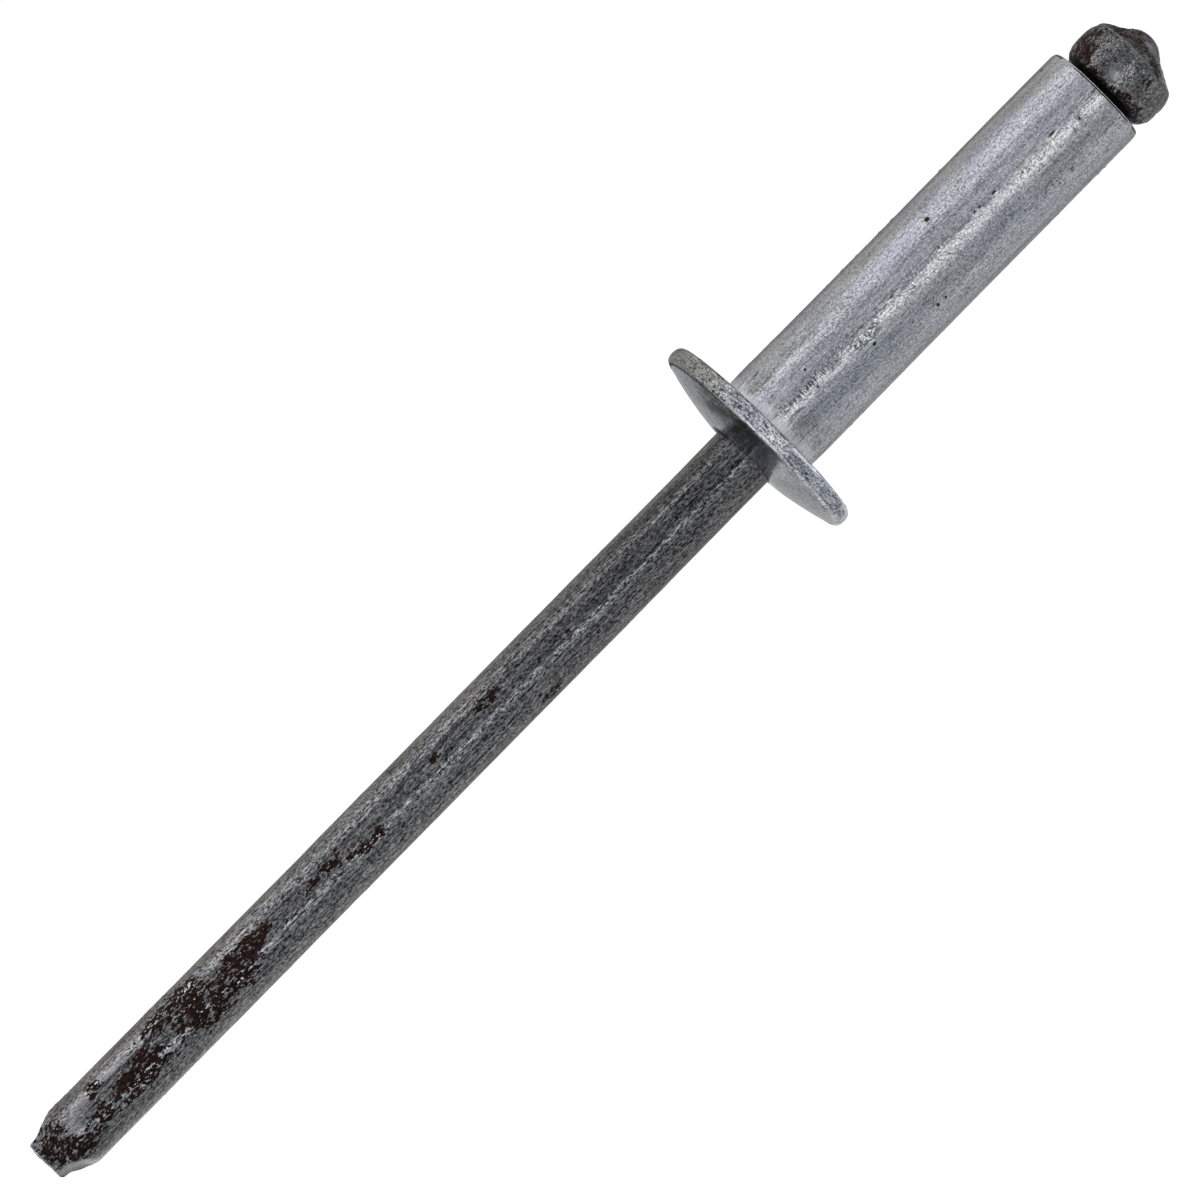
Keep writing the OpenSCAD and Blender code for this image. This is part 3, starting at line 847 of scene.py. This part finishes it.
# Where the dome's painted shade is deepest, part of the surface is made non-metal, so it reflects less
less_metal_in_shade = start.held("shade").ramp(-0.5, -1.5, 0, 0.5)
shader = start.node("ShaderNodeBsdfPrincipled", Base_Color=tone, Metallic=1 - less_metal_in_shade, Roughness=gloss,
                    Normal=bump, Specular_IOR_Level=0.0)
start.node("ShaderNodeOutputMaterial", Surface=shader)
sleeve.data.materials.append(aluminium)
print("Aluminium uses", len(aluminium.node_tree.nodes), "nodes")

# %% [markdown]
# Grains of the steel and of its rust
# The mandrel is drawn steel wire with short fibres and longer hairs along it, while the
# head is scaly, because it was forged. The mesh already says where the rust is. Two noises
# fray its edges and leave small islands of steel in it, so that it looks ragged at any
# distance. Fine cracks run over the head and the tail's end.

# %% Grains of the steel
steel, start, here, far = new_metal("mandrel_steel_finish")
rust_place, bare_and_highlight_place = start.held("rust"), start.held("bare_and_highlight")
on_head = far.ramp(13.1 * MM, 13.3 * MM)
near_tail = far.ramp(-26.3 * MM, -27.2 * MM)
fibre = here.grain(0.050, (2.5, 1, 1), 1.0, 0.6)
hair = here.grain(0.048, (13, 1, 1), 1.0, 0.6)
scale = here.grain(0.062, (1, 1, 1), 1.0, 0.6)
fine = here.grain(0.034, (1.6, 1, 1), 0.0)
drawn = here.grain(0.070, (30, 1, 1), 1.0)
fray = here.grain(0.115, (2.0, 1, 1), 2.0, 0.62)
islands = here.grain(0.060, (1.9, 1, 1), 1.0, 0.6)
mottle = here.grain(0.060, (1.5, 1, 1), 1.0, 0.6)
swirl = here.grain(0.12, (1.6, 1, 1), 2.0, 0.6)

cracks = here.grain(0.34, (1.3, 1, 1), 2.0, 0.62).lines(0.5, 0.016, 0.005) * (on_head + near_tail)
furrow = swirl.lines(0.5, 0.030, 0.006)
skin = fibre * (1 - on_head) + scale * on_head
rusty = fray * (0.52 + on_head * 0.18) + islands * (0.48 - on_head * 0.14)
rusty = (rusty + rust_place * (0.256 + on_head * 0.02)).ramp(0.690, 0.712)
rusty = rusty * (1 - islands.ramp(0.59, 0.65) * on_head * 0.7)
print("The steel's grains take", len(steel.node_tree.nodes), "nodes")

# %% [markdown]
# Colour and gloss of the steel
# Bare steel is dark grey. As on the sleeve, a level near 1 multiplies its colour: fibres,
# hairs, furrows and cracks, the lighter bare places and the painted highlight ring on the
# head's shoulder, and the painted reflection bands from the mesh.
# The wire is also a little darker towards the flange. Rust is nearly black and mottled
# with brown, rough, and not quite metal any more.

# %% Steel of the mandrel
STEEL_DARK, STEEL_LIGHT = (0.090, 0.090, 0.094, 1), (0.106, 0.105, 0.106, 1)
RUST_DARK, RUST_BROWN = (0.0062, 0.0035, 0.0026, 1), (0.028, 0.0108, 0.0072, 1)
NEUTRAL, COOL = (1, 1, 1, 1), (0.93, 1.0, 1.13, 1)
LEAST_STEEL = 0.12

rough = skin.ramp(0.36, 0.64, -0.62, 0.68) + skin.ramp(0.64, 0.76) * 0.9 + fine.ramp(0.35, 0.65, -0.28, 0.28)
hairs = hair.ramp(0.60, 0.68, 0, 0.75) - hair.ramp(0.40, 0.32, 0, 0.45) + drawn.ramp(0.34, 0.66, -0.26, 0.24)
level = 1 + rough + hairs * (1 - on_head) + on_head * 0.25 + rust_place * 0.5
level = level.most(LEAST_STEEL) * (1 - furrow * (0.5 + on_head * 0.3))
level = level * (1 - bare_and_highlight_place * 0.5) * (1 - cracks * 0.75)
# Bare places are lighter, and so is the painted highlight ring on the head's shoulder
level = level + bare_and_highlight_place * 1.6 + bare_and_highlight_place.ramp(0.35, 0.6) * on_head * 0.35
# Painted reflection bands from the mesh, and a little darker towards the flange
level = level * (1 + start.held("marks")) * far.ramp(-3 * MM, -16 * MM, 0.88, 1.12)
metal = drawn.ramp(0.3, 0.7).blend(STEEL_DARK, STEEL_LIGHT).times(level)
# Painted cooler tint on the stripe where the bright reflection falls
tint = start.held("cool").blend(NEUTRAL, COOL)
metal = start.node("ShaderNodeVectorMath", {"operation": "MULTIPLY"}, i0=metal, i1=tint)
brown = mottle.ramp(0.42, 0.66).blend(RUST_DARK, RUST_BROWN).times(1 + on_head * 0.25)
# Painted shade darkens the head's underside
tone = rusty.blend(metal, brown).times(1 - start.held("shade_under_head") * 0.93)

height = skin * 1.2 + drawn * 0.4 - furrow * 0.8 - cracks * 1.2 + rusty * (0.4 + swirl * 2.0)
bump = start.node("ShaderNodeBump", Strength=0.5, Distance=0.010 * MM, Height=height)
gloss = skin.ramp(0.3, 0.7, 0.27, 0.19) * (1 - rusty) + rusty * 0.62
shader = start.node("ShaderNodeBsdfPrincipled", Base_Color=tone, Metallic=1 - rusty * 0.25, Roughness=gloss,
                    Normal=bump, Specular_IOR_Level=0.2)
start.node("ShaderNodeOutputMaterial", Surface=shader)
mandrel.data.materials.append(steel)
print("Steel uses", len(steel.node_tree.nodes), "nodes")

# %% [markdown]
# Floor and white background
# The photograph's background is pure white. Rays from the camera, and rays that the metal
# reflects, see a white floor and a white world. All other rays see a pale floor that the
# lamp lights, so the rivet still throws its soft shadow there.

# %% Floor and world
FLOOR_HALF = 1.2
FLOOR_PALE, FLOOR_SEEN, FLOOR_GLOW = (0.9, 0.9, 0.9, 1), (0.2, 0.2, 0.2, 1), 0.95
WORLD_LIGHT, WORLD_SEEN = 0.5, 1.0


def seen_directly(start):
    """1 for rays from the camera, and for rays reflected or let through by the object."""
    rays = start.node("ShaderNodeLightPath").output.node.outputs
    names = ("Is Camera Ray", "Is Glossy Ray", "Is Transmission Ray")
    camera_ray, glossy_ray, through_ray = (Wire(start.tree, rays[name]) for name in names)
    return camera_ray.most(glossy_ray).most(through_ray)


pale = bpy.data.materials.new("floor_white")
start = empty_nodes(pale)
direct = seen_directly(start)
lit = start.node("ShaderNodeBsdfDiffuse", Color=direct.blend(FLOOR_PALE, FLOOR_SEEN))
white = start.node("ShaderNodeEmission", Color=(1, 1, 1, 1), Strength=direct * FLOOR_GLOW)
start.node("ShaderNodeOutputMaterial", Surface=start.node("ShaderNodeAddShader", i0=lit, i1=white))
floor_mesh = bpy.data.meshes.new("floor")
square = [(x * FLOOR_HALF, y * FLOOR_HALF, 0.0) for x, y in ((-1, -1), (1, -1), (1, 1), (-1, 1))]
floor_mesh.from_pydata(square, [], [(0, 1, 2, 3)])
floor_mesh.materials.append(pale)
floor = bpy.data.objects.new("floor", floor_mesh)
scene.collection.objects.link(floor)

world = bpy.data.worlds.new("white_room")
start = empty_nodes(world)
strength = seen_directly(start) * (WORLD_SEEN - WORLD_LIGHT) + WORLD_LIGHT
soft = start.node("ShaderNodeBackground", Color=(1, 1, 1, 1), Strength=strength)
start.node("ShaderNodeOutputWorld", Surface=soft)
scene.world = world
print("The floor is", 2 * FLOOR_HALF, "m wide, and the world gives", WORLD_LIGHT, "of full white")

# %% [markdown]
# The lamp
# One long soft lamp lies parallel to the rivet, above it and a little to the camera's side,
# so that it draws an even band of light along the metal. A cylinder shows a lamp at half
# the lamp's angle from the camera: one straight overhead lands 45 degrees up the sleeve.

# %% Lamp
# Angle round the rivet's line, 0 at the camera and 90 straight down
LAMP_TURN = np.radians(-72.5)
# In millimetres: along the line, away from it, and the lamp's own width and length
LAMP_ALONG, LAMP_AWAY, LAMP_WIDTH, LAMP_LENGTH = -6.0, 300, 225, 600
LAMP_WATTS, LAMP_COLOUR = 0.325, (0.97, 0.99, 1.05)

light = bpy.data.lights.new("lamp_above", "AREA")
light.shape, light.size, light.size_y = "RECTANGLE", LAMP_LENGTH * MM, LAMP_WIDTH * MM
light.energy, light.color = LAMP_WATTS, LAMP_COLOUR
lamp = bpy.data.objects.new("lamp_above", light)
away = np.cos(LAMP_TURN) * FRONT + np.sin(LAMP_TURN) * DOWN
stand(lamp, AXIS, np.cross(away, AXIS), away, MM * (SEAT + LAMP_ALONG * AXIS + LAMP_AWAY * away))
lamp.visible_camera = False
print("The lamp is", LAMP_AWAY, "mm from the rivet")

# %% [markdown]
# Cards for the reflections
# Metal shows almost nothing but its surroundings. In a plain white room it would be plain
# white, so a photographer stands white, grey and black cards around it. These seven are
# seen by nothing but the metal's reflections: they light nothing and throw no shadow. A
# card that lies on the floor as a fan, from the point where the rivet's line meets the
# floor, shows as a band of even width all along the rivet.

# %% Cards
CARD_LIFT, FAN_REACH = 0.01, 120.0


def card(name, corners, brightness, tint=(1, 1, 1, 1)):
    """A card that only reflections see, from its corners in millimetres, with an even glow."""
    mesh = bpy.data.meshes.new(name)
    mesh.from_pydata([tuple(MM * x for x in corner) for corner in corners], [], [tuple(range(len(corners)))])
    material = bpy.data.materials.new(name)
    start = empty_nodes(material)
    glow = start.node("ShaderNodeEmission", Color=tint, Strength=brightness)
    start.node("ShaderNodeOutputMaterial", Surface=glow)
    mesh.materials.append(material)
    item = bpy.data.objects.new(name, mesh)
    scene.collection.objects.link(item)
    item.visible_camera = item.visible_diffuse = item.visible_shadow = item.visible_transmission = False


def fan(from_deg, to_deg):
    """Corners of a fan on the floor. Its edge at an angle p below the level lies at
    y = -(distance from the fan's point) x tan(tilt) / tan(p)."""
    foot = SEAT[0] - SEAT[2] / np.tan(TILT)
    far_x = foot + FAN_REACH
    edges = [-FAN_REACH * np.tan(TILT) / np.tan(np.radians(deg)) for deg in (from_deg, to_deg)]
    return [(foot, 0, CARD_LIFT), (far_x, edges[0], CARD_LIFT), (far_x, edges[1], CARD_LIFT)]


def flat(z, x_from, x_to, y_from, y_to):
    """Corners of a level card at height z."""
    return [(x_from, y_from, z), (x_to, y_from, z), (x_to, y_to, z), (x_from, y_to, z)]


def upright(y, x_from, x_to, z_from, z_to):
    """Corners of an upright card at depth y."""
    return [(x_from, y, z_from), (x_to, y, z_from), (x_to, y, z_to), (x_from, y, z_to)]


card("bright_strip", fan(4.0, 13.0), 3.4, (1.0, 0.975, 0.90, 1))
card("dark_strip", fan(58.0, 27.0), 0.70, (0.93, 0.97, 1.0, 1))
card("grey_strip_behind", fan(110.0, 176.0), 0.55)
card("warm_card_above", flat(150, -200, 200, 35, 214), 0.93, (1.04, 1.0, 0.93, 1))
card("dark_wall_behind", upright(60, 9, 200, 0.2, 50), 0.3)
card("grey_wall_behind", upright(60, -200, 9, 0.2, 50), 0.5)
card("room_behind_camera", upright(-500, -800, 800, 20, 500), 0.73, (0.96, 0.99, 1.05, 1))

# %% [markdown]
# Sizes and the end
# The end
